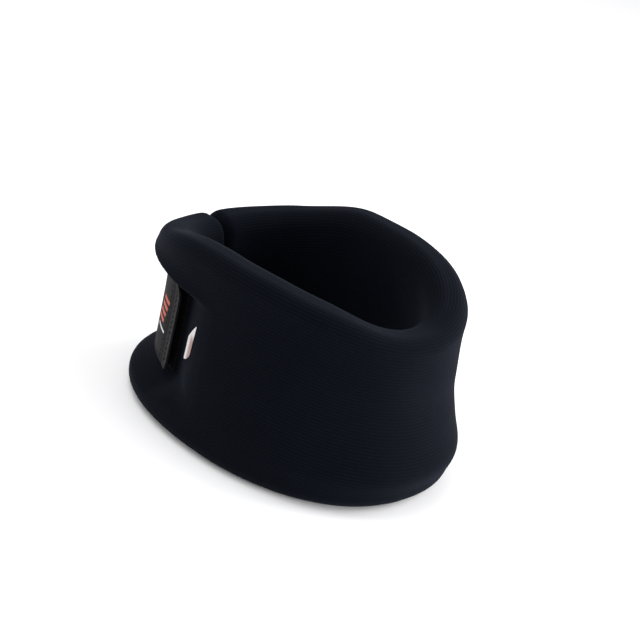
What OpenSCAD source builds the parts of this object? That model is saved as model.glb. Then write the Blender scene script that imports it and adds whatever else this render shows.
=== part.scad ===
// Soft cervical collar: a contoured foam slab in a rib-knit sleeve. A hook strap sewn to the
// left end crosses the back and sticks to a loop panel sewn on the right end.
// Frame: +Z up, chin side faces -Y, closure at +Y, the bottom rim stands on z = 0.
// Angles run round the collar seen from above: 0 chin, 90 left ear, 180 nape, 270 right ear.

/* [Collar] */
// Half width of the foam's middle line, ear to ear
half_side = 64.7; // [58:0.1:74]
// From the middle of the plan to the foam's middle line at the chin
half_front = 88.4; // [78:0.1:98]
// From the middle of the plan to the foam's middle line at the nape
half_back = 78.8; // [68:0.1:88]
// Mean height of the collar
rim_mid = 103.4; // [96:0.2:112]
// Extra depth of the dip under the chin
chin_dip = 5.8; // [0:0.2:12]
// Half angle over which the chin dip fades
chin_angle = 33; // [20:1:50]
// Thickness of the padded wall
foam_t = 23; // [18:0.5:26]
// Radius of the four long edges
edge_r = 9; // [6:0.5:9]
// Outward flare of the top rim
top_flare = 6.5; // [2:0.5:12]
// Inward curl of the bottom rim
bottom_curl = 1.8; // [-4:0.2:6]
// Thickness of the knit sleeve
sleeve_t = 1.2; // [0.8:0.1:1.6]
// Gap between the two ends at the nape
end_gap = 4; // [3.6:0.1:8]

/* [Closure] */
// Width of the strap and the loop panel
strap_w = 52; // [40:1:52]
// Height of the strap's middle
strap_z = 50.8; // [48:0.1:53]
// Thickness of the strap tape
strap_t = 1.6; // [1.2:0.1:2]
// Thickness of the loop panel
panel_t = 1.8; // [1.2:0.1:2.4]
// Depth of the hook field
hook_t = 1; // [0.8:0.1:1.4]
// Depth of the valley that the closed strap presses into the foam
pinch_depth = 13; // [6:0.5:13]
// How far the free end of the pull tab stands off the panel
tab_rise = 3.5; // [1:0.5:6]

/* [Hidden] */
// Exponent of the plan curve, 2 is an ellipse
plan_pow = 2.24;
// Change of height from chin to nape, and of the ears over both
rim_front = 3.67;
rim_side = 5.8;
// Extra fall of the rim towards the nape
rim_back = 5.2;
// Inward lean of the wall from bottom to top, and backward shift of the whole section
wall_lean = 7;
// How much more the chin side leans, flares at the top and curls at the bottom
chin_lean = 1.6;
chin_flare = 2.4;
chin_curl = 4.8;
// Swell low on the chin side, and hollow above it
chin_swell = 4.25;
chin_hollow = 2.25;
// How much less the nape side flares at the top
nape_flare = 2.5;
// Swell of the foam just above the tight strap
lobe_swell = 2.5;
// Degrees that the free end of the strap slants from its bottom edge to its top edge
end_slant = 2.5;
section_shift = 0.099;
// Moves the plan so that the row's origin is under the middle of the whole collar
y_mid = 8.46;
// Gap between the two halves at the chin
cut_gap = 0.4;
// Air between foam and sleeve, and between a sewn piece and what it lies on
core_air = 0.2;
sewn_air = 0.18;
// Air between hooks and loops
closure_air = 0.3;
// How far the valley floor is turned upright under the tight strap, 0 to 1
floor_upright = 0.6;
// Thread size
thread_w = 0.7;
thread_h = 0.3;
strap_lo = strap_z - strap_w / 2;
strap_hi = strap_z + strap_w / 2;
panel_top = sewn_air + panel_t;
strap_under = panel_top + closure_air + hook_t;
// Angles where pieces start and stop
panel_us = [184:4:252];
anchor_us = [124:4:148];
root_u = 152;
tab_u = 244;
tab_end_u = 253;
// Places across the strap where it, the panel and the sleeve under them have their points
across = [0, 0.25, 0.5, 0.75, 0.92, 1];
// Gap between the anchor, the strap and the pull tab, in degrees
hinge_gap = 0.3;

function ease(t) = let(c = min(max(t, 0), 1)) c * c * (3 - 2 * c);
function spow(v, p) = sign(v) * pow(abs(v), p);
function flat(lists) = [for (l = lists) each l];
function flip(faces) = [for (f = faces) [f[2], f[1], f[0]]];
function quad(a, b, c, d) = [[a, b, c], [a, c, d]];

// Smooth hill of height 1 at z0 and half width w
function hill(z, z0, w) = exp(-pow((z - z0) / w, 2));

// Height of the top rim at angle u
function rim(u) =
    let(t = u > 180 ? u - 360 : u)
    rim_mid + rim_front * cos(u) - rim_side * cos(2 * u)
        - chin_dip * exp(-pow(t / chin_angle, 2))
        - rim_back * ease((abs(t) - 100) / 35);

// Offset of the wall's middle line from the plan curve
function bow(u, z) =
    let(v = 2 * z / rim(u) - 1,
        c = pow(max(cos(u), 0), 2),
        flare = v > 0
            ? top_flare + chin_flare * c - nape_flare * pow(max(-cos(u), 0), 2) - 1.15 * cos(u)
            : -bottom_curl - chin_curl * c - 2 * cos(u))
    flare * pow(abs(v), 2.5) - (wall_lean + chin_lean * c) * v
        + c * (chin_swell * hill(z, 22, 9.6) - chin_hollow * hill(z, 51, 12.5));

// Depth of the valley under the strap
function pinch(u, z) =
    (u < 180 ? ease((u - 112) / 28) : ease((274 - u) / 22))
        * ((pinch_depth + floor_upright * (bow(u, z) - bow(u, strap_z)))
            * ease((z - strap_lo + 14.8 - 4 * ease((u - 248) / 14)) / 16)
            * ease((strap_hi + 5 - z) / 5.3)
            - lobe_swell * hill(z, strap_hi + 3.2, 5));

// Outer surface of the sleeve, as an offset from the plan curve
function skin(u, z) = foam_t / 2 + bow(u, z) - pinch(u, z);

// Point at angle u, offset o from the plan curve and height z
function at(u, o, z) =
    let(b = cos(u) > 0 ? half_front : half_back,
        nx = spow(sin(u), 2 - 2 / plan_pow) / half_side,
        ny = -spow(cos(u), 2 - 2 / plan_pow) / b,
        n = norm([nx, ny]))
    [half_side * spow(sin(u), 2 / plan_pow) + o * nx / n,
     -b * spow(cos(u), 2 / plan_pow) + o * ny / n + section_shift * (z - 50) + y_mid,
     z];

// Closed outline of the wall at angle u, inset by i: outside upwards, then inside downwards
function outline(u, i) =
    let(h = rim(u), r = edge_r - i, c = foam_t / 2 - edge_r,
        rise = h - edge_r - strap_hi,
        out_z = concat([15, 20.5], [for (k = across) strap_lo + strap_w * k],
            [strap_hi + rise * 0.35, strap_hi + rise * 0.68]),
        low = [for (a = [-90:30:0]) [c + r * cos(a), edge_r + r * sin(a)]],
        high = [for (a = [0:30:90]) [c + r * cos(a), h - edge_r + r * sin(a)]],
        outer = concat(low, [for (z = out_z) [foam_t / 2 - i, z]], high),
        inner = concat(low, [for (k = [1:10]) [foam_t / 2 - i, edge_r + (h - 2 * edge_r) * k / 11]], high),
        n = len(inner))
    concat(
        [for (p = outer) [p[0] + bow(u, p[1]) - pinch(u, p[1]), p[1]]],
        [for (k = [n - 1:-1:0]) [bow(u, inner[k][1]) - inner[k][0], inner[k][1]]]);

// Stations of the left half: angle, fixed x or 0, extra inset that rounds the end
stations = concat(
    [[0, cut_gap / 2, 0]],
    [for (u = [8:8:80]) [u, 0, 0]],
    [for (u = [84:4:172]) [u, 0, 0]],
    [[176, 0, 0.4], [180, end_gap / 2 + 1, 0.9], [180, end_gap / 2, 2.2]]);
n_st = len(stations);
n_pt = len(outline(0, 0));

// One ring of points, on side 1 (left) or -1 (right), inset by t
function ring(side, k, t) =
    let(s = stations[k],
        u = side > 0 ? s[0] : 360 - s[0],
        x = s[1] == 0 ? 0 : side * (s[1] + (k > 0 ? t : 0)))
    [for (p = outline(u, s[2] + t))
        let(q = at(u, p[0], p[1]))
        [x == 0 ? q[0] : x, q[1], q[2]]];
function rings(side, t) = flat([for (k = [0:n_st - 1]) ring(side, k, t)]);

// Faces of a tube of rings whose points start at index o, and of a cap on ring k
function tube(o) = flat([
    for (k = [0:n_st - 2], j = [0:n_pt - 1])
        let(a = o + k * n_pt, b = a + n_pt, i = (j + 1) % n_pt)
        quad(a + j, a + i, b + i, b + j)]);
function cap(o, k) = flat([
    for (j = [0:n_pt / 2 - 2])
        let(a = o + k * n_pt)
        quad(a + j, a + j + 1, a + n_pt - 2 - j, a + n_pt - 1 - j)]);

module half_core(side) {
    f = concat(tube(0), cap(0, n_st - 1), flip(cap(0, 0)));
    polyhedron(points = rings(side, sleeve_t + core_air), faces = side > 0 ? f : flip(f));
}

module half_sleeve(side) {
    o = n_st * n_pt;
    front = flat([
        for (j = [0:n_pt - 1])
            let(i = (j + 1) % n_pt)
            quad(i, j, o + j, o + i)]);
    f = concat(tube(0), cap(0, n_st - 1), flip(tube(o)), flip(cap(o, n_st - 1)), front);
    polyhedron(points = concat(rings(side, 0), rings(side, sleeve_t)), faces = side > 0 ? f : flip(f));
}

// Closed slab between two grids of points of the same size
module slab(a, b) {
    nu = len(a);
    nz = len(a[0]);
    o = nu * nz;
    skin_b = flat([
        for (i = [0:nu - 2], j = [0:nz - 2])
            let(p = o + i * nz + j)
            quad(p, p + 1, p + nz + 1, p + nz)]);
    skin_a = flat([
        for (i = [0:nu - 2], j = [0:nz - 2])
            let(p = i * nz + j)
            quad(p, p + nz, p + nz + 1, p + 1)]);
    ends = flat([
        for (j = [0:nz - 2])
            let(p = j, q = (nu - 1) * nz + j)
            concat(quad(o + p + 1, o + p, p, p + 1), quad(o + q, o + q + 1, q + 1, q))]);
    edges = flat([
        for (i = [0:nu - 2])
            let(p = i * nz, q = p + nz - 1)
            concat(quad(o + p, o + p + nz, p + nz, p), quad(o + q + nz, o + q, q, q + nz))]);
    polyhedron(points = concat(flat(a), flat(b)), faces = concat(skin_b, skin_a, ends, edges));
}

// Height of the strap's under side over the sleeve, on the panel, on the left end and at the tab
function under(u) =
    sewn_air + closure_air + (strap_under - sewn_air - closure_air) * ease((u - 164) / 20)
        + tab_rise * pow(max(0, (u - tab_u) / (tab_end_u - tab_u)), 1.6);

// Angle of a point of the closure, whose end near the ear is cut on a slant
function slant(u, z) = u + end_slant * ease((u - 225) / 25) * (z - strap_z) / strap_w;
function on_sleeve(u, z, o) = let(v = slant(u, z)) at(v, skin(v, z) + o, z);

// Band on the sleeve: a row of [angle, low z, high z, low offset, high offset]
module band(rows) {
    slab(
        [for (r = rows) [for (k = across) on_sleeve(r[0], r[1] + (r[2] - r[1]) * k, r[3])]],
        [for (r = rows) [for (k = across) on_sleeve(r[0], r[1] + (r[2] - r[1]) * k, r[4])]]);
}

// Thread or print laid along a path of [angle, z], du degrees and dz mm across, from level c1 to c2
module line(path, du, dz, level, c1, c2) {
    slab(
        [for (p = path) [for (s = [-0.5, 0.5]) let(u = p[0] + s * du, z = p[1] + s * dz)
            on_sleeve(u, z, height(level, u) + c1)]],
        [for (p = path) [for (s = [-0.5, 0.5]) let(u = p[0] + s * du, z = p[1] + s * dz)
            on_sleeve(u, z, height(level, u) + c2)]]);
}
function height(level, u) =
    level == "panel" ? panel_top : level == "anchor" ? sewn_air + strap_t : under(u) + strap_t;

module thread(path, du, dz, level) line(path, du, dz, level, -0.15, thread_h);

// Thread along the collar at height z, and thread up the collar at angle u
module thread_along(us, z, level) thread([for (u = us) [u, z]], 0, thread_w, level);
module thread_up(u, z1, z2, level) thread([for (k = [0:4]) [u, z2 + (z1 - z2) * k / 4]], 0.5, 0, level);

// Row of stitches round a piece, open at its corners
module thread_box(us, u1, u2, z1, z2, level) {
    thread_along(us, z1, level);
    thread_along(us, z2, level);
    thread_up(u1, z1 + 1, z2 - 1, level);
    thread_up(u2, z1 + 1, z2 - 1, level);
}

// Ridge of the seam that closes one end of the sleeve
module end_seam(side) {
    x1 = end_gap / 2 + 0.1;
    x2 = end_gap / 2 - 1.2;
    zs = [for (k = [0:6]) 8 + (rim(180) - 16) * k / 6];
    slab(seam_edges(zs, side, 1, x1), seam_edges(zs, side, 0.7, x2));
}
function seam_edges(zs, side, w, x) = [
    for (s = [-side, side]) [
        for (z = zs) [side * x, at(180, bow(180, z) - pinch(180, z) / 2 + s * w, z)[1], z]]];

module foam_core_right() color([0.55, 0.56, 0.58]) half_core(-1);
module foam_core_left() color([0.55, 0.56, 0.58]) half_core(1);
module knit_sleeve_right() color([0.06, 0.07, 0.1]) half_sleeve(-1);
module knit_sleeve_left() color([0.06, 0.07, 0.1]) half_sleeve(1);
module end_seam_right() color([0.04, 0.04, 0.06]) end_seam(-1);
module end_seam_left() color([0.04, 0.04, 0.06]) end_seam(1);

module loop_panel()
    color([0.05, 0.05, 0.07])
        band([for (u = panel_us) [u, strap_lo, strap_hi, sewn_air, panel_top]]);

module loop_panel_stitching()
    color([0.03, 0.03, 0.04])
        thread_box([186:3.6:251], 186.25, 250.25, strap_lo + 2, strap_hi - 2, "panel");

module side_label()
    color([0.85, 0.84, 0.82])
        band([for (u = [261.7:0.96:266.6]) [u, strap_z - 8, strap_z + 14.5, sewn_air, sewn_air + 0.6]]);

module strap_anchor()
    color([0.17, 0.165, 0.19])
        band([for (u = concat([for (v = anchor_us) v], [root_u - hinge_gap]))
            [u, strap_lo, strap_hi, sewn_air, sewn_air + strap_t]]);

module strap_anchor_stitching()
    color([0.03, 0.03, 0.04]) {
        us = [126:3.5:147];
        thread_box(us, 126.25, 146.75, strap_lo + 4, strap_hi - 4, "anchor");
        for (half = [[127.5, 130, 132.5, 135], [138, 140.5, 143, 145.5]], tilt = [-1, 1])
            thread([for (u = half) [u, strap_z + tilt * (strap_w / 2 - 4) * (u - 136.5) / 10.5]],
                0, thread_w * 1.6, "anchor");
    }

module hook_strap()
    color([0.17, 0.165, 0.19])
        band([for (u = [root_u:4:tab_u]) [u, strap_lo, strap_hi, under(u), under(u) + strap_t]]);

module hook_field()
    color([0.08, 0.08, 0.09])
        band([for (u = [192:4:240]) [u, strap_lo + 4, strap_hi - 4, under(u) - hook_t, under(u) + 0.1]]);

module hook_field_stitching()
    color([0.03, 0.03, 0.04])
        thread_box([190:4:242], 190.25, 241.75, strap_lo + 2, strap_hi - 2, "strap");

module strap_print_bars()
    color([0.69, 0.25, 0.2])
        for (k = [0:3])
            line([for (j = [0:3]) [228.4 + 1.2 * k + 3 * j, strap_z - 4.8 + 4.2 * k]],
                0, 2.2, "strap", -0.05, 0.08);

module strap_print_rule()
    color([0.8, 0.8, 0.8])
        line([for (u = [229:2.9:240.6]) [u, strap_z - 9.5]], 0, 1.2, "strap", -0.05, 0.08);

module pull_tab()
    color([0.17, 0.165, 0.19])
        band([
            for (s = [[tab_u + hinge_gap, 0], [246.5, 0], [248.5, 0.4],
                [250.3, 1.4], [251.8, 3.2], [tab_end_u, 7]])
                [s[0], strap_lo + s[1], strap_hi - s[1], under(s[0]), under(s[0]) + strap_t]]);

module pull_tab_hem()
    color([0.03, 0.03, 0.04]) {
        thread_up(246, strap_lo + 4, strap_hi - 4, "strap");
        thread_up(247.5, strap_lo + 4, strap_hi - 4, "strap");
    }

foam_core_right();
foam_core_left();
knit_sleeve_right();
knit_sleeve_left();
end_seam_right();
end_seam_left();
loop_panel();
loop_panel_stitching();
side_label();
strap_anchor();
strap_anchor_stitching();
hook_strap();
hook_field();
hook_field_stitching();
strap_print_bars();
strap_print_rule();
pull_tab();
pull_tab_hem();
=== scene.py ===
# Soft cervical collar: the looks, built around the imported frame. Metres, +Z up, chin at -Y.
import math

import bpy
import numpy as np
from mathutils import Matrix, Vector


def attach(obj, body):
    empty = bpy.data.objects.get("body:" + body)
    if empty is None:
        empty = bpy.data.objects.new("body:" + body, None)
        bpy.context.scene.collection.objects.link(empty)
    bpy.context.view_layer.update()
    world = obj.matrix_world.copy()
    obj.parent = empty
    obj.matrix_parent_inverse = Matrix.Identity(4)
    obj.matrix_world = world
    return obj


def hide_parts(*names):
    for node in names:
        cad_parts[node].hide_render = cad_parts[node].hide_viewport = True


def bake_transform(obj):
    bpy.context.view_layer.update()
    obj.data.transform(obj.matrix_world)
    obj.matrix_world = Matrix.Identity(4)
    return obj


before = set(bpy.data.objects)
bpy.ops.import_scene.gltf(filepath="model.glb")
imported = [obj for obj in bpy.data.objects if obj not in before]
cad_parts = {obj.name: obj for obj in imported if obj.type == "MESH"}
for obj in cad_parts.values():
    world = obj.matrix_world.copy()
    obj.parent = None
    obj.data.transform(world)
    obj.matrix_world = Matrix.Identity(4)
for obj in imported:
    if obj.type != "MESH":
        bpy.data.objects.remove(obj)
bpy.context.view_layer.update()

MM = 0.001

# ---------------------------------------------------------------- shape of the collar, in mm
# u: 0 chin, 90 left ear, 180 nape, 270 right ear, as in the CAD source
HALF_SIDE, HALF_FRONT, HALF_BACK, PLAN_POW = 64.7, 88.4, 78.8, 2.24
Y_MID, SHIFT = 8.46, 0.099
FOAM_T, EDGE_R = 23.0, 9.0
STRAP_Z, STRAP_W, STRAP_T = 50.8, 52.0, 1.6
LO, HI = STRAP_Z - STRAP_W / 2, STRAP_Z + STRAP_W / 2
STRAP_UNDER = 3.28  # height of the strap's under side over the sleeve, on the panel
ROOT_RISE = 0.4  # and over the left end
ROOT_U, TAB_U, TAB_END = 152.0, 244.0, 253.0


def ease(t):
    t = np.clip(t, 0, 1)
    return t * t * (3 - 2 * t)


def spow(v, p):
    return np.sign(v) * np.abs(v) ** p


def cosd(u):
    return np.cos(np.radians(u))


def rim(u):
    """Height of the top rim."""
    t = np.where(u > 180, u - 360, u)
    return (103.4 + 3.67 * cosd(u) - 5.8 * cosd(2 * u) - 5.8 * np.exp(-(t / 33.0) ** 2)
            - 5.2 * ease((np.abs(t) - 100) / 35))


def bow(u, z):
    """Offset of the wall's middle from the plan curve."""
    v = 2 * z / rim(u) - 1
    c = np.clip(cosd(u), 0, 1) ** 2
    back = np.clip(-cosd(u), 0, 1) ** 2
    flare = np.where(v > 0, 6.5 + 2.4 * c - 2.5 * back - 1.15 * cosd(u), -1.8 - 4.8 * c - 2 * cosd(u))
    roll = 4.25 * np.exp(-((z - 22) / 9.6) ** 2) - 2.25 * np.exp(-((z - 51) / 12.5) ** 2)
    return flare * np.abs(v) ** 2.5 - (7 + 1.6 * c) * v + c * roll


def pinch(u, z):
    """Depth of the valley under the strap."""
    deep = 13 + 0.6 * (bow(u, z) - bow(u, STRAP_Z + 0 * z))
    along = np.where(u < 180, ease((u - 112) / 28), ease((274 - u) / 22))
    narrow = 4 * ease((u - 248) / 14)
    return along * (deep * ease((z - LO + 14.8 - narrow) / 16) * ease((HI + 5 - z) / 5.3)
                    - 2.5 * np.exp(-((z - 80) / 5) ** 2))


def skin(u, z):
    return FOAM_T / 2 + bow(u, z) - pinch(u, z)


def at(u, o, z):
    """Points at angle u, offset o from the plan curve and height z."""
    u, o, z = np.broadcast_arrays(np.asarray(u, float) % 360, o, z)
    c, s = cosd(u), np.sin(np.radians(u))
    b = np.where(c > 0, HALF_FRONT, HALF_BACK)
    nx = spow(s, 2 - 2 / PLAN_POW) / HALF_SIDE
    ny = -spow(c, 2 - 2 / PLAN_POW) / b
    n = np.hypot(nx, ny)
    return np.stack([HALF_SIDE * spow(s, 2 / PLAN_POW) + o * nx / n,
                     -b * spow(c, 2 / PLAN_POW) + o * ny / n + SHIFT * (z - 50) + Y_MID, z], -1)


def under(u):
    """Height of the strap's under side over the sleeve."""
    return (ROOT_RISE + (STRAP_UNDER - ROOT_RISE) * ease((u - 164) / 20)
            + 3.5 * np.clip((u - TAB_U) / (TAB_END - TAB_U), 0, None) ** 1.6)


def slant(u, z):
    """Angle of a point of the closure, whose end near the ear is cut on a slant."""
    return u + 2.5 * ease((u - 225) / 25) * (z - STRAP_Z) / STRAP_W


def on_sleeve(u, z, o):
    v = slant(u, z)
    return at(v, skin(v, z) + o, z)


# ---------------------------------------------------------------- mesh helpers
def make_mesh(name, points, faces, uv=None, smooth=True):
    """A new object from points in mm; uv gives one pair per point."""
    me = bpy.data.meshes.new(name)
    faces = np.asarray(faces, np.int32)
    n, k = faces.shape
    me.vertices.add(len(points))
    me.vertices.foreach_set("co", (np.asarray(points, np.float32) * MM).ravel())
    me.loops.add(n * k)
    me.loops.foreach_set("vertex_index", faces.ravel())
    me.polygons.add(n)
    me.polygons.foreach_set("loop_start", np.arange(0, n * k, k, dtype=np.int32))
    me.polygons.foreach_set("use_smooth", np.full(n, smooth))
    me.update(calc_edges=True)
    if uv is not None:
        layer = me.uv_layers.new(name="weave")
        layer.data.foreach_set("uv", np.asarray(uv, np.float32)[faces.ravel()].ravel())
    me.validate()
    o = bpy.data.objects.new(name, me)
    bpy.context.scene.collection.objects.link(o)
    return o


def grid_faces(n, m, wrap):
    """Quads over n rows of m points, the rows closed into loops if wrap."""
    i, j = np.meshgrid(np.arange(n - 1), np.arange(m if wrap else m - 1), indexing="ij")
    a, b = i * m + j, i * m + (j + 1) % m
    return np.stack([a, a + m, b + m, b], -1).reshape(-1, 4)


def finish_piece(o, mat, body, replaces=()):
    o.data.materials.append(mat)
    if body:
        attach(o, body)
    if replaces:
        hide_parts(*replaces)
    return o


# ---------------------------------------------------------------- padded wall
def arc_table():
    """Angle from -180 to 180 against length along the plan curve, 0 at the chin."""
    t = np.linspace(-180, 180, 7201)
    p = at(t, 0 * t, 50 + 0 * t)
    s = np.concatenate([[0], np.cumsum(np.linalg.norm(np.diff(p, axis=0), axis=1))])
    return t, s - s[3600]


ARC_T, ARC_S = arc_table()
HALF_LEN = ARC_S[-1]


def angle_at(s):
    return np.interp(s, ARC_S, ARC_T)


def length_at(u):
    return np.interp(np.where(np.asarray(u) > 180, np.asarray(u) - 360, u), ARC_T, ARC_S)


def side_of_section(u, inset, sign, n):
    """n + 1 evenly spaced (offset, z) from the middle of the bottom to the middle of the top."""
    h = float(rim(u))
    r = max(EDGE_R - inset, 0.0)
    c = min(FOAM_T / 2 - EDGE_R, FOAM_T / 2 - inset)
    z0 = EDGE_R - r + max(inset - EDGE_R, 0)
    a = np.radians(np.linspace(-90, 0, 14))
    lo = np.stack([c + r * np.cos(a), z0 + r + r * np.sin(a)], 1)
    hi = np.stack([c + r * np.cos(a[::-1]), h - z0 - r - r * np.sin(a[::-1])], 1)
    zs = np.linspace(z0 + r, h - z0 - r, 90)[1:-1]
    mid = np.stack([np.full(len(zs), c + r), zs], 1)
    p = np.concatenate([[[0, z0]], lo, mid, hi, [[0, h - z0]]])
    thin = pinch(u + 0 * p[:, 1], p[:, 1])
    o = bow(u, p[:, 1]) + sign * p[:, 0] * (1 - thin / FOAM_T) - thin / 2
    p = np.stack([o, p[:, 1]], 1)
    d = np.concatenate([[0], np.cumsum(np.linalg.norm(np.diff(p, axis=0), axis=1))])
    k = np.linspace(0, d[-1], n + 1)
    return np.stack([np.interp(k, d, p[:, 0]), np.interp(k, d, p[:, 1])], 1)


END_ROUND = 5.0  # radius that turns the wall in at each end
END_X = 1.9  # half of the gap between the two ends
PUFF_CAP = 3.5  # the most that the sleeve may swell


def stations(step_near, step_far, inset):
    """Rows of the wall from the right end to the left end: (length along it, inset)."""
    s_right = -HALF_LEN + END_X + inset
    rise = length_at(np.array([246.0, 276.0]))
    body = [s_right + END_ROUND]
    while body[-1] < -s_right - END_ROUND:
        near = rise[0] < body[-1] < rise[1]
        body.append(body[-1] + (step_near if near else step_far))
    body = np.array(body)
    body = body[0] + (body - body[0]) * (-2 * (s_right + END_ROUND)) / (body[-1] - body[0])
    a = np.radians(np.linspace(90, 0, 7)[:-1])
    r = END_ROUND
    curve = np.stack([s_right + r * (1 - np.sin(a)), inset + r * (1 - np.cos(a))], 1)
    k = np.linspace(1, 0.15, 5)
    dome = np.stack([s_right - 0.5 * k * (2 - k), inset + r + (11.2 - inset - r) * k], 1)
    first = np.concatenate([dome, curve])
    last = first[::-1].copy()
    last[:, 0] = -last[:, 0]
    rows = np.concatenate([first, np.stack([body, np.full(len(body), inset)], 1), last])
    return rows


def wall_grid(n_half, step_near, step_far, inset=0.0):
    """(rows, 2 n_half, 3) points, with each row's length and each column's place round the section."""
    rows = stations(step_near, step_far, inset)
    pts = []
    for s, i in rows:
        u = float(angle_at(s)) % 360
        out = side_of_section(u, i, 1, n_half)
        inn = side_of_section(u, i, -1, n_half)[::-1]
        ring = np.concatenate([out[:-1], inn[:-1]])
        pts.append(at(u, ring[:, 0], ring[:, 1]))
    q = np.arange(2 * n_half) / (2 * n_half)
    return np.array(pts), rows[:, 0], q


def closed_tube(n, m, shift=0):
    """Faces of n rings of m points, with a strip of quads across each end ring."""
    k, j = (np.arange(m) - shift) % m, np.arange(m // 2 - 1)
    start = np.stack([k[j], k[j + 1], k[m - 2 - j], k[m - 1 - j]], 1)
    return np.concatenate([grid_faces(n, m, True), start, start[:, ::-1] + (n - 1) * m])


def grid_normals(p):
    """Outward unit normals of a wall grid."""
    du = np.gradient(p, axis=0)
    dq = np.roll(p, -1, 1) - np.roll(p, 1, 1)
    n = np.cross(du, dq)
    n /= np.maximum(np.linalg.norm(n, axis=2, keepdims=True), 1e-9)
    return n


def cubic(values, x):
    """Catmull-Rom samples of values along axis 0 at fractional rows x."""
    n = len(values)
    i = np.clip(np.floor(x).astype(int), 0, n - 2)
    t = (x - i).reshape((-1,) + (1,) * (values.ndim - 1))
    g = [values[np.clip(i + k, 0, n - 1)] for k in (-1, 0, 1, 2)]
    return 0.5 * (2 * g[1] + (g[2] - g[0]) * t + (2 * g[0] - 5 * g[1] + 4 * g[2] - g[3]) * t ** 2
                  + (3 * g[1] - g[0] - 3 * g[2] + g[3]) * t ** 3)


def spread(coarse, cs, cq, s, q):
    """A field on the coarse grid, read at rows s and columns q of another grid."""
    rows = np.interp(s, cs, np.arange(len(cs)))
    f = cubic(coarse, rows)
    wrap = np.concatenate([f[:, -2:], f, f[:, :3]], 1).transpose(1, 0, 2)
    return cubic(wrap, q * len(cq) + 2).transpose(1, 0, 2)


def inflate():
    """Cloth run on a coarse wall: the sleeve puffs over the foam but stays held under the strap.
    Returns how far each coarse point moved, with the grid's rows and columns."""
    p, s, q = wall_grid(34, 2.4, 4.2)
    n, m = p.shape[:2]
    o = make_mesh("puff", p.reshape(-1, 3), closed_tube(n, m))
    u = angle_at(s)[:, None] % 360 + 0 * q
    z = p[..., 2]
    outer = (q < 0.5)[None, :]
    valley = outer * (pinch(u, z) > 10.5)
    hold = np.where(valley, 1.0, np.where(outer, 0.0, 0.35))
    hold = np.maximum(hold, ease((5 - z) / 4))
    hold[:8] = hold[-8:] = 1
    group = o.vertex_groups.new(name="hold")
    flat = hold.ravel()
    for w in np.unique(np.round(flat, 1)):
        if w > 0:
            group.add(np.nonzero(np.abs(flat - w) < 0.05)[0].tolist(), float(w), "REPLACE")
    cloth = o.modifiers.new("cloth", "CLOTH")
    c = cloth.settings
    c.quality = 6
    c.mass = 0.3
    c.tension_stiffness = c.compression_stiffness = 12
    c.shear_stiffness = 6
    c.bending_stiffness = 2
    c.use_pressure = True
    c.uniform_pressure_force = 4
    c.vertex_group_mass = "hold"
    c.pin_stiffness = 1
    c.effector_weights.gravity = 0
    cloth.point_cache.frame_start = 1
    cloth.point_cache.frame_end = 20
    scene = bpy.context.scene
    for f in range(1, 21):
        scene.frame_set(f)
    ev = o.evaluated_get(bpy.context.evaluated_depsgraph_get())
    co = np.zeros(n * m * 3, np.float32)
    ev.data.vertices.foreach_get("co", co)
    bpy.data.objects.remove(o)
    scene.frame_set(1)
    move = co.reshape(n, m, 3) / MM - p
    size = np.linalg.norm(move, axis=2, keepdims=True)
    move *= np.minimum(1, PUFF_CAP / np.maximum(size, 1e-6))
    for _ in range(2):
        move = (move + np.roll(move, 1, 1) + np.roll(move, -1, 1)) / 3
        move[1:-1] = (move[:-2] + move[1:-1] + move[2:]) / 3
    return move, s, q


def lumps(s, q):
    """Slow unevenness of the padding, in mm."""
    a = 2 * math.pi * q[None, :]
    s = s[:, None]
    return (0.22 * np.sin(s / 23 + 2 * np.cos(a) + 0.7) + 0.16 * np.sin(s / 11 - 3 * np.sin(a))
            + 0.12 * np.sin(s / 6.1 + 5 * a) * np.sin(a / 2) ** 2)


RIBS = 66  # on each side of the section
SECTION_UV = 240.0  # length of the weave map round the section, in mm


def padded_wall(name, n_half, step_near, step_far, inset, puff, rib):
    p, s, q = wall_grid(n_half, step_near, step_far, inset)
    p = p + spread(*puff, s, q)
    n = grid_normals(p)
    room = ease((p[..., 2] - 0.5) / 5)
    inside = np.minimum(1, np.abs(np.abs(s) - HALF_LEN) / 12)[:, None]
    ribs = rib * (0.5 * np.cos(4 * math.pi * RIBS * q) - 0.5)[None, :]
    p = p + n * (lumps(s, q) * room * inside + ribs)[..., None]
    p[..., 2] = np.maximum(p[..., 2], 0.02)
    uv = np.stack(np.broadcast_arrays(s[:, None] / 100, q[None, :] * SECTION_UV / 100), -1).reshape(-1, 2)
    o = make_mesh(name, p.reshape(-1, 3), closed_tube(*p.shape[:2]), uv)
    return o, s, q


def bend_at_chin(o):
    """Bakes the wall's placement into its mesh."""
    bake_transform(o)


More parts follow.
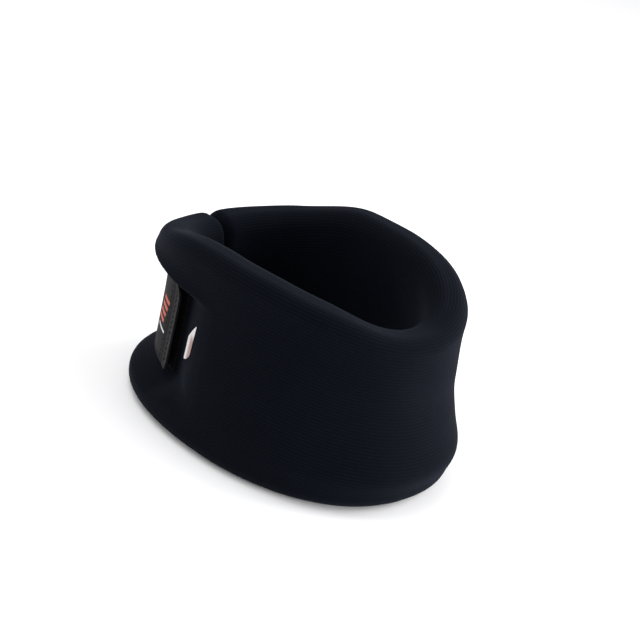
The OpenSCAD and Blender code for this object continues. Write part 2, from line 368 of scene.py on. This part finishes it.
# ---------------------------------------------------------------- tape, stitches and small sheets
def tape(name, us, lo, hi, base, thick, n_across=36, edge=0.55):
    """Flat tape on the wall through the angles us; lo, hi and the height of its under side, base,
    may change along it."""
    us = np.asarray(us, float)
    lo, hi = np.broadcast_to(lo, us.shape), np.broadcast_to(hi, us.shape)
    base = np.broadcast_to(base, us.shape)
    k = np.linspace(0, 1, n_across)
    a = np.linspace(-90, 90, 6)[1:-1]
    half = thick / 2
    rows = []
    for u, l, h, b in zip(us, lo, hi, base):
        w = l + edge + (h - l - 2 * edge) * k
        up = np.stack([w, np.full(n_across, thick)], 1)
        down = np.stack([w[::-1], np.zeros(n_across)], 1)
        r_hi = np.stack([h - edge + edge * cosd(a[::-1]), half + half * np.sin(np.radians(a[::-1]))], 1)
        r_lo = np.stack([l + edge - edge * cosd(a), half + half * np.sin(np.radians(a))], 1)
        rows.append(np.concatenate([up, r_hi, down, r_lo]))
        rows[-1][:, 1] += b
    rows = np.array(rows)
    z, off = rows[..., 0], rows[..., 1]
    p = on_sleeve(us[:, None] + 0 * z, z, off)
    n, m = z.shape
    uv = np.stack([np.broadcast_to(length_at(us)[:, None], z.shape) / 100, z / 100], -1).reshape(-1, 2)
    return make_mesh(name, p.reshape(-1, 3), closed_tube(n, m, 2), uv)


def tube_along(paths, radius, sides=6):
    """One mesh of round threads from many (k, 3) paths of equal length; the ends narrow and stay open."""
    paths = np.asarray(paths, float)
    n, k = paths.shape[:2]
    tan = np.gradient(paths, axis=1)
    tan /= np.maximum(np.linalg.norm(tan, axis=2, keepdims=True), 1e-9)
    ref = np.where(np.abs(tan[..., 2:3]) > 0.9, [1.0, 0, 0], [0, 0, 1.0])
    x = np.cross(tan, ref)
    x /= np.maximum(np.linalg.norm(x, axis=2, keepdims=True), 1e-9)
    y = np.cross(tan, x)
    taper = np.ones(k)
    taper[0] = taper[-1] = 0.35
    a = np.linspace(0, 2 * math.pi, sides, endpoint=False)
    r = np.asarray(radius, float)
    ring = (x[:, :, None] * np.cos(a)[None, None, :, None] + y[:, :, None] * np.sin(a)[None, None, :, None])
    pts = paths[:, :, None] + ring * (r * taper)[None, :, None, None]
    one = grid_faces(k, sides, True)[:, ::-1]
    faces = (one[None] + (np.arange(n) * k * sides)[:, None, None]).reshape(-1, 4)
    return pts.reshape(-1, 3), faces


def stitches(path, top, length=2.3, gap=0.9, radius=0.17):
    """Stitch paths along a polyline of (u, z); top gives the height of the cloth over the sleeve at u."""
    path = np.asarray(path, float)
    p = on_sleeve(path[:, 0], path[:, 1], 0)
    d = np.concatenate([[0], np.cumsum(np.linalg.norm(np.diff(p, axis=0), axis=1))])
    count = max(1, int(round((d[-1] + gap) / (length + gap))))
    pitch = (d[-1] + gap) / count
    out = []
    for i in range(count):
        k = i * pitch + np.linspace(0, pitch - gap, 7)
        u, z = np.interp(k, d, path[:, 0]), np.interp(k, d, path[:, 1])
        rise = np.sin(np.linspace(0, math.pi, 7)) ** 0.5 * 1.5 * radius - 0.9 * radius
        out.append(on_sleeve(u, z, top(u) + rise))
    return out


def stitch_piece(name, lines, top, mat, body, node, radius=0.17):
    paths = [s for line in lines for s in stitches(line, top, radius=radius)]
    pts, faces = tube_along(paths, radius)
    return finish_piece(make_mesh(name, pts, faces), mat, body, [node])


def run(u1, z1, u2, z2, n=24):
    return np.stack([np.linspace(u1, u2, n), np.linspace(z1, z2, n)], 1)


def box_lines(u1, u2, z1, z2):
    return [run(u1, z1, u2, z1), run(u2, z1, u2, z2), run(u2, z2, u1, z2), run(u1, z2, u1, z1)]


# ---------------------------------------------------------------- materials
class Nodes:
    """Short ways to add shader nodes to one material."""

    def __init__(self, name):
        self.mat = bpy.data.materials.new(name)
        self.mat.use_nodes = True
        self.nt = self.mat.node_tree
        self.bsdf = self.nt.nodes["Principled BSDF"]

    def put(self, socket, value):
        if isinstance(value, bpy.types.NodeSocket):
            self.nt.links.new(value, socket)
        else:
            socket.default_value = value

    def math(self, op, a, b=0.0, c=0.0):
        n = self.nt.nodes.new("ShaderNodeMath")
        n.operation = op
        for s, v in zip(n.inputs, (a, b, c)):
            self.put(s, v)
        return n.outputs[0]

    def weave_uv(self):
        n = self.nt.nodes.new("ShaderNodeUVMap")
        n.uv_map = "weave"
        s = self.nt.nodes.new("ShaderNodeSeparateXYZ")
        self.nt.links.new(n.outputs[0], s.inputs[0])
        return self.math("MULTIPLY", s.outputs[0], 100.0), self.math("MULTIPLY", s.outputs[1], 100.0)

    def wave(self, x, period, phase=0.0):
        """0 to 1 to 0 over each period of x."""
        a = self.math("MULTIPLY_ADD", x, 2 * math.pi / period, phase)
        return self.math("MULTIPLY_ADD", self.math("COSINE", a), 0.5, 0.5)

    def noise(self, scale, detail=3.0, rough=0.6, stretch=None):
        co = self.nt.nodes.new("ShaderNodeTexCoord").outputs["Object"]
        if stretch:
            m = self.nt.nodes.new("ShaderNodeMapping")
            m.inputs["Scale"].default_value = stretch
            self.nt.links.new(co, m.inputs["Vector"])
            co = m.outputs[0]
        n = self.nt.nodes.new("ShaderNodeTexNoise")
        n.inputs["Scale"].default_value = scale
        n.inputs["Detail"].default_value = detail
        n.inputs["Roughness"].default_value = rough
        self.nt.links.new(co, n.inputs["Vector"])
        return n.outputs[0]

    def mix(self, share, a, b):
        n = self.nt.nodes.new("ShaderNodeMix")
        n.data_type = "RGBA"
        self.put(n.inputs["Factor"], share)
        for s, v in ((n.inputs[6], a), (n.inputs[7], b)):
            self.put(s, v if isinstance(v, bpy.types.NodeSocket) else (*v, 1.0))
        return n.outputs[2]

    def span(self, x, lo, hi, to_lo=0.0, to_hi=1.0):
        n = self.nt.nodes.new("ShaderNodeMapRange")
        for s, v in zip(n.inputs, (x, lo, hi, to_lo, to_hi)):
            self.put(s, v)
        return n.outputs[0]

    def bump(self, height, strength, depth_mm):
        n = self.nt.nodes.new("ShaderNodeBump")
        n.inputs["Strength"].default_value = strength
        n.inputs["Distance"].default_value = depth_mm * MM
        self.nt.links.new(height, n.inputs["Height"])
        self.nt.links.new(n.outputs[0], self.bsdf.inputs["Normal"])

    def look(self, color, rough, sheen=0.0, tint=(1, 1, 1), sheen_rough=0.4, specular=0.3):
        b = self.bsdf.inputs
        self.put(b["Base Color"], color if isinstance(color, bpy.types.NodeSocket) else (*color, 1.0))
        self.put(b["Roughness"], rough)
        b["Sheen Weight"].default_value = sheen
        b["Sheen Roughness"].default_value = sheen_rough
        b["Sheen Tint"].default_value = (*tint, 1.0)
        b["Specular IOR Level"].default_value = specular
        return self.mat


def knit_material():
    """Fine rib knit: each rib is a row of small slanted stitches, a little fuzzy."""
    k = Nodes("rib_knit")
    s, v = k.weave_uv()
    pitch = SECTION_UV / (2 * RIBS)
    row = k.math("DIVIDE", v, pitch)
    rib = k.wave(v, pitch)
    across = k.math("ABSOLUTE", k.math("SUBTRACT", k.math("FRACT", k.math("ADD", row, 0.5)), 0.5))
    slant = k.math("MULTIPLY_ADD", across, 1.1, s)
    loop = k.wave(slant, 1.15)
    fuzz = k.noise(1400, 3.0, 0.7)
    patch = k.noise(26, 3.0, 0.6)
    height = k.math("MULTIPLY_ADD", k.math("MULTIPLY", loop, rib), 0.45, rib)
    height = k.math("MULTIPLY_ADD", fuzz, 0.5, height)
    k.bump(height, 0.4, 0.13)
    yarn = k.mix(k.span(patch, 0.35, 0.7), (0.0012, 0.0018, 0.0038), (0.0020, 0.0027, 0.0052))
    yarn = k.mix(k.span(fuzz, 0.45, 0.8), yarn, (0.0046, 0.0053, 0.0082))
    # Painted shade: the colour darkens into the grooves between the ribs and stitches, where the bump is
    # lowest.
    deep = k.mix(k.span(k.math("MULTIPLY_ADD", loop, 0.4, rib), 0.0, 0.8), (0.0009, 0.0013, 0.0028), yarn)
    return k.look(deep, k.span(fuzz, 0.3, 0.7, 0.84, 0.96), 0.027, (0.62, 0.74, 1.0), 0.5, 0.028)


def tape_material(name, base, lift, rough=0.75, sheen=0.035):
    """Close woven tape: fine threads across and along."""
    k = Nodes(name)
    s, v = k.weave_uv()
    warp, weft = k.wave(v, 0.62), k.wave(s, 0.5)
    check = k.wave(k.math("ADD", s, v), 1.0)
    fuzz = k.noise(1800, 2.0, 0.6)
    patch = k.noise(40, 3.0, 0.6)
    height = k.math("MULTIPLY_ADD", check, 0.5, k.math("MULTIPLY", warp, weft))
    k.bump(k.math("MULTIPLY_ADD", fuzz, 0.6, height), 0.35, 0.12)
    # Painted shade in the hollows between the threads, mixed with a slow random tone: the colour follows the
    # weave's height.
    weave_shade_and_tone = k.math("MULTIPLY_ADD", k.math("SUBTRACT", height, 0.5), 0.35, patch)
    gloss = k.span(fuzz, 0.3, 0.7, rough - 0.06, rough + 0.08)
    return k.look(k.mix(k.span(weave_shade_and_tone, 0.25, 0.8), base, lift), gloss, sheen, (0.9, 0.9, 1.0), 0.35, 0.08)


def plain_cloth(name, dark, light, scale, rough, sheen=0.05):
    """Even cloth, thread or moulded hooks, with a slow and a fine grain."""
    k = Nodes(name)
    n = k.noise(scale, 4.0, 0.65)
    fine = k.noise(scale * 12, 2.0, 0.6)
    k.bump(k.math("MULTIPLY_ADD", fine, 0.5, n), 0.4, 0.1)
    gloss = k.span(fine, 0.3, 0.7, rough - 0.07, rough + 0.07)
    return k.look(k.mix(k.span(n, 0.3, 0.7), dark, light), gloss, sheen, specular=0.1)


def foam_material():
    """Open-cell foam."""
    k = Nodes("foam")
    t = k.nt.nodes.new("ShaderNodeTexVoronoi")
    t.inputs["Scale"].default_value = 900
    k.nt.links.new(k.nt.nodes.new("ShaderNodeTexCoord").outputs["Object"], t.inputs["Vector"])
    k.bump(t.outputs["Distance"], 0.6, 0.4)
    # Painted shade: the colour darkens into the pores, where the bump is deepest.
    c = k.mix(k.span(t.outputs["Distance"], 0.0, 0.6), (0.36, 0.35, 0.32), (0.62, 0.61, 0.58))
    return k.look(c, 0.95, 0.1)


def label_material():
    """Blank satin label with one dark reddish block over the lower part of its sewn end."""
    k = Nodes("label_satin")
    s, v = k.weave_uv()
    thread = k.wave(v, 0.4)
    k.bump(k.math("MULTIPLY_ADD", k.wave(s, 0.33), 0.5, thread), 0.25, 0.05)
    base = k.mix(k.noise(60), (0.50, 0.48, 0.47), (0.64, 0.63, 0.62))
    side = k.span(s, float(length_at(263.4)), float(length_at(264.6)))
    block = k.math("MULTIPLY", k.span(v, STRAP_Z + 9.0, STRAP_Z + 5.0), side)
    return k.look(k.mix(k.math("MULTIPLY", block, 0.85), base, (0.22, 0.10, 0.09)), 0.42, 0.1, specular=0.3)


def print_material(name, color):
    """Slightly worn screen print."""
    k = Nodes(name)
    wear = k.noise(700, 4.0, 0.7)
    dull = tuple(0.55 * c for c in color)
    k.bump(wear, 0.2, 0.05)
    return k.look(k.mix(k.span(wear, 0.55, 0.75), color, dull), k.span(wear, 0.3, 0.7, 0.5, 0.7))


# ---------------------------------------------------------------- pieces
def make_wall(puff):
    o, s, q = padded_wall("knit_sleeve", 4 * RIBS, 1.7, 3.1, 0.0, puff, 0.08)
    finish_piece(o, knit_material(), None, ["knit_sleeve_right", "knit_sleeve_left"])
    bend_at_chin(o)
    o, s, q = padded_wall("foam_core", 60, 2.5, 4.0, 1.5, puff, 0.0)
    finish_piece(o, foam_material(), None, ["foam_core_right", "foam_core_left"])
    bend_at_chin(o)


def make_end_seam(side, mat):
    """Gathered ridge with overcast thread that closes one end of the sleeve."""
    u = 180.0
    z = np.linspace(10.5, float(rim(u)) - 10.5, 60)
    mid = bow(u, z) - pinch(u + 0 * z, z) / 2
    centre = at(u, mid, z)
    centre[:, 0] = side * (1.45 + 0.1 * np.sin(z * 1.9))
    ridge, faces = tube_along([centre], 0.75, 10)
    loops = []
    for k in range(34):
        zc = 11.5 + (float(rim(u)) - 23) * k / 33
        t = np.linspace(-60, 240, 9)
        m = bow(u, zc) - pinch(u, np.array(zc)) / 2
        p = at(u + 0 * t, m + 1.02 * cosd(t), zc + 0.9 * (t - 90) / 300)
        p[:, 0] = side * (1.45 - 0.85 * np.sin(np.radians(t)) * 0.9)
        loops.append(p)
    pts2, faces2 = tube_along(loops, 0.17, 6)
    name, body = ("end_seam_right", "right_half") if side < 0 else ("end_seam_left", "left_half")
    points = np.concatenate([ridge, pts2])
    o = make_mesh(name + "_overcast", points, np.concatenate([faces, faces2 + len(ridge)]))
    finish_piece(o, mat, body, [name])


def make_panel(pile, thread):
    """Loop panel: a backing sheet, its pile of small loops and the stitches round it."""
    us = np.linspace(184, 252, 100)
    o = tape("loop_panel_backing", us, LO, HI, 0.1, 1.05, 36, 0.45)
    finish_piece(o, pile, "right_half", ["loop_panel"])
    rng = np.random.default_rng(7)
    n = 6500
    u, z = rng.uniform(184.6, 251.5, n), rng.uniform(LO + 0.7, HI - 0.7, n)
    turn = rng.uniform(0, math.pi, n)
    size = rng.uniform(0.28, 0.5, n)
    tall = rng.uniform(0.5, 0.78, n)
    t = np.linspace(0, math.pi, 6)
    reach = np.cos(t)[None] * size[:, None]
    du = reach * np.cos(turn)[:, None] / 1.38
    dz = reach * np.sin(turn)[:, None]
    up = 1.1 + np.sin(t)[None] * tall[:, None]
    uu, zz = u[:, None] + du, z[:, None] + dz
    paths = on_sleeve(uu, zz, up)
    pts, faces = tube_along(paths, 0.075, 3)
    finish_piece(make_mesh("loop_pile", pts, faces), pile, "right_half", ())
    stitch_piece("loop_panel_stitches", box_lines(186, 250.4, LO + 2, HI - 2), lambda u: 1.25 + 0 * u,
                 thread, "right_half", "loop_panel_stitching")


def make_label():
    """Satin label, sewn down along one edge and curling off the sleeve at the other."""
    k = np.linspace(0, 1, 16)
    us = 262.4 + 3.8 * k
    curl = 0.12 + 1.3 * (1 - k) ** 1.5
    low, high = STRAP_Z - 8 + 5 * k ** 2, STRAP_Z + 14.5 - 9 * (1 - k) ** 1.2
    o = tape("side_label_satin", us, low, high, curl, 0.3, 22, 0.14)
    finish_piece(o, label_material(), "right_half", ["side_label"])


def make_strap(cloth, thread):
    """One length of tape, sewn down at the left end and free from the root on."""
    us = np.concatenate([np.linspace(122.6, 146, 30), np.linspace(146.6, 160, 30),
                         np.linspace(161, TAB_U, 90)])
    base = np.where(us < ROOT_U, 0.1 + 0.3 * ease((us - 148) / 4), under(us))
    o = tape("strap_tape", us, LO, HI, base, STRAP_T)
    finish_piece(o, cloth, None, ["strap_anchor", "hook_strap"])
    a, b = at(149.5, 8.0, STRAP_Z) * MM, at(155.0, 8.0, STRAP_Z) * MM
    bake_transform(o)
    lines = box_lines(125.5, 147, LO + 3.5, HI - 3.5)
    lines += [run(126.4, LO + 4.8, 146.1, HI - 4.8), run(126.4, HI - 4.8, 146.1, LO + 4.8)]
    stitch_piece("strap_anchor_stitches", lines, lambda u: 0.1 + STRAP_T + 0 * u, thread, "left_half",
                 "strap_anchor_stitching")
    stitch_piece("hook_field_stitches", box_lines(190.5, 241.2, LO + 2.2, HI - 2.2),
                 lambda u: under(u) + STRAP_T, thread, "strap", "hook_field_stitching")


def make_hooks(mat):
    """Base sheet and rows of small bent hooks that face the loop panel."""
    us = np.linspace(191.5, 240.5, 60)
    o = tape("hook_base", us, LO + 3.6, HI - 3.6, under(us) - 0.28, 0.34, 24, 0.15)
    finish_piece(o, mat, "strap", ["hook_field"])
    rows, cols = np.arange(192.3, 240, 1.02), np.arange(LO + 4.6, HI - 4.4, 1.35)
    u, z = [a.ravel() for a in np.meshgrid(rows, cols, indexing="ij")]
    lean = np.where((np.arange(len(u)) // len(cols)) % 2 == 0, 1.0, -1.0)
    side = np.array([0, 0.02, 0.08, 0.25, 0.45, 0.5])
    drop = np.array([0.15, 0.45, 0.72, 0.92, 0.86, 0.68])
    zz = z[:, None] + lean[:, None] * side[None]
    uu = u[:, None] + 0 * zz
    paths = on_sleeve(uu, zz, under(uu) - drop[None])
    pts, faces = tube_along(paths, 0.14, 4)
    finish_piece(make_mesh("hook_rows", pts, faces), mat, "strap", ())


def decal(name, quads, mat, node):
    """Thin printed shapes on the strap, each a (u, z) quad with corners in order."""
    pts, faces, uv = [], [], []
    n = 9
    k = np.linspace(0, 1, n)
    for a, b, c, d in quads:
        a, b, c, d = map(np.array, (a, b, c, d))
        g = np.array([[(a * (1 - i) + b * i) * (1 - j) + (d * (1 - i) + c * i) * j for j in k] for i in k])
        f = grid_faces(n, n, False)
        for level in (-0.05, 0.08):
            p = on_sleeve(g[..., 0], g[..., 1], under(g[..., 0]) + STRAP_T + level)
            faces.append((f if level > 0 else f[:, ::-1]) + len(pts) * n * n)
            pts.append(p.reshape(-1, 3))
        first = (len(pts) - 2) * n * n
        rim_ids = np.concatenate([np.arange(n), np.arange(1, n) * n + n - 1,
                                  (n - 1) * n + np.arange(n - 2, -1, -1), np.arange(n - 2, 0, -1) * n])
        nxt = np.roll(rim_ids, -1)
        faces.append(np.stack([rim_ids, nxt, nxt + n * n, rim_ids + n * n], 1) + first)
    o = make_mesh(name, np.concatenate(pts), np.concatenate(faces), smooth=False)
    return finish_piece(o, mat, "strap", [node])


def make_print():
    """Four plain slanted bars and a thin rule."""
    bars = []
    for k in range(4):
        u, z = 228.4 + 1.2 * k, STRAP_Z - 4.8 + 4.2 * k
        bars.append([(u, z + 1.1), (u + 9, z + 1.1), (u + 8.6, z - 1.1), (u - 0.4, z - 1.1)])
    decal("strap_print_four_bars", bars, print_material("print_red", (0.42, 0.075, 0.04)),
          "strap_print_bars")
    z = STRAP_Z - 9.5
    decal("strap_print_thin_rule", [[(229, z + 0.6), (240.6, z + 0.6), (240.6, z - 0.6), (229, z - 0.6)]],
          print_material("print_pale", (0.55, 0.55, 0.56)), "strap_print_rule")


def make_tab(cloth, thread):
    """Free end of the strap: no hooks, rounded corners, standing off the panel."""
    tip = TAB_END - (TAB_END - 248) * np.linspace(1, 0, 22)[1:] ** 1.6
    us = np.concatenate([np.linspace(TAB_U, 248, 18), tip])
    cut = 7.5 * (1 - np.sqrt(np.clip(1 - ((us - 247) / (TAB_END - 247)).clip(0) ** 2.3, 0, 1)))
    o = tape("pull_tab_tape", us, LO + cut, HI - cut, under(us), STRAP_T)
    finish_piece(o, cloth, None, ["pull_tab"])
    a, b = at(TAB_U + 0.1, 5.0, STRAP_Z) * MM, at(TAB_U + 3.0, 5.0, STRAP_Z) * MM
    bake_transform(o)
    hem = [run(247.6, LO + 4, 247.6, HI - 4), run(249.0, LO + 5, 249.0, HI - 5)]
    stitch_piece("pull_tab_hem_stitches", hem, lambda u: under(u) + STRAP_T, thread, "tab", "pull_tab_hem")


# ---------------------------------------------------------------- floor, light, camera
def make_floor():
    me = bpy.data.meshes.new("floor")
    me.from_pydata([(-6, -6, 0), (6, -6, 0), (6, 6, 0), (-6, 6, 0)], [], [(0, 1, 2, 3)])
    o = bpy.data.objects.new("floor", me)
    bpy.context.scene.collection.objects.link(o)
    k = Nodes("floor")
    k.look((0.86, 0.86, 0.87), 0.9, specular=0.1)
    o.data.materials.append(k.mat)


def area_light(name, place, size, power, color=(1, 1, 1)):
    light = bpy.data.lights.new(name, "AREA")
    light.shape = "RECTANGLE"
    light.size, light.size_y = size
    light.energy = power
    light.color = color
    o = bpy.data.objects.new(name, light)
    o.location = place
    o.rotation_euler = (Vector((0, 0, 0.05)) - Vector(place)).to_track_quat("-Z", "Y").to_euler()
    bpy.context.scene.collection.objects.link(o)


def make_light():
    """Soft studio light: a white room with four softboxes."""
    scene = bpy.context.scene
    scene.view_settings.view_transform = "Standard"
    w = bpy.data.worlds.new("studio")
    w.use_nodes = True
    w.node_tree.nodes["Background"].inputs[0].default_value = (1, 1, 1, 1)
    w.node_tree.nodes["Background"].inputs[1].default_value = 0.85
    scene.world = w
    area_light("right_softbox", (0.8, -0.5, 0.5), (0.7, 0.7), 10)
    area_light("front_low_softbox", (0.25, -1.0, 0.2), (0.7, 0.35), 9)
    area_light("top_softbox", (-0.2, 0.5, 1.2), (0.9, 0.9), 8)
    area_light("left_strip", (-0.9, 0.7, 0.4), (0.3, 0.8), 2.5)


def make_camera():
    """Long lens at the wearer's front right, looking down a little and rolled."""
    az, el, roll = map(math.radians, (-50, 24.98, 14.06))
    back = Vector((math.sin(az) * math.cos(el), -math.cos(az) * math.cos(el), math.sin(el)))
    right = Vector((math.cos(az), math.sin(az), 0))
    up = back.cross(right)
    x = right * math.cos(roll) + up * math.sin(roll)
    y = up * math.cos(roll) - right * math.sin(roll)
    place = Vector((0, Y_MID, 50)) + back * 1000 + right * 10.68 + up * 11.99
    cam = bpy.data.cameras.new("camera")
    cam.sensor_width = 36
    cam.lens = 99.93
    cam.clip_start = 0.01
    o = bpy.data.objects.new("camera", cam)
    o.matrix_world = Matrix.Translation(place * MM) @ Matrix((x, y, back)).transposed().to_4x4()
    bpy.context.scene.collection.objects.link(o)
    bpy.context.scene.camera = o


def main():
    make_camera()
    make_light()
    make_floor()
    puff = inflate()
    thread = plain_cloth("thread", (0.0055, 0.005, 0.006), (0.011, 0.010, 0.0115), 900, 0.75)
    pile = plain_cloth("loop_pile", (0.0015, 0.0017, 0.0024), (0.0036, 0.004, 0.0052), 500, 0.9, 0.03)
    tape_cloth = tape_material("strap_tape", (0.0065, 0.006, 0.0068), (0.012, 0.0112, 0.0122))
    hooks = plain_cloth("hooks", (0.008, 0.008, 0.009), (0.016, 0.016, 0.018), 300, 0.45, 0.0)
    make_wall(puff)
    seam = plain_cloth("seam_thread", (0.004, 0.005, 0.007), (0.01, 0.011, 0.015), 900, 0.8)
    make_end_seam(-1, seam)
    make_end_seam(1, seam)
    dark_thread = plain_cloth("panel_thread", (0.0025, 0.0027, 0.0035), (0.005, 0.0052, 0.006), 900, 0.8, 0.0)
    make_panel(pile, dark_thread)
    make_label()
    make_strap(tape_cloth, thread)
    make_hooks(hooks)
    make_print()
    make_tab(tape_cloth, thread)


main()
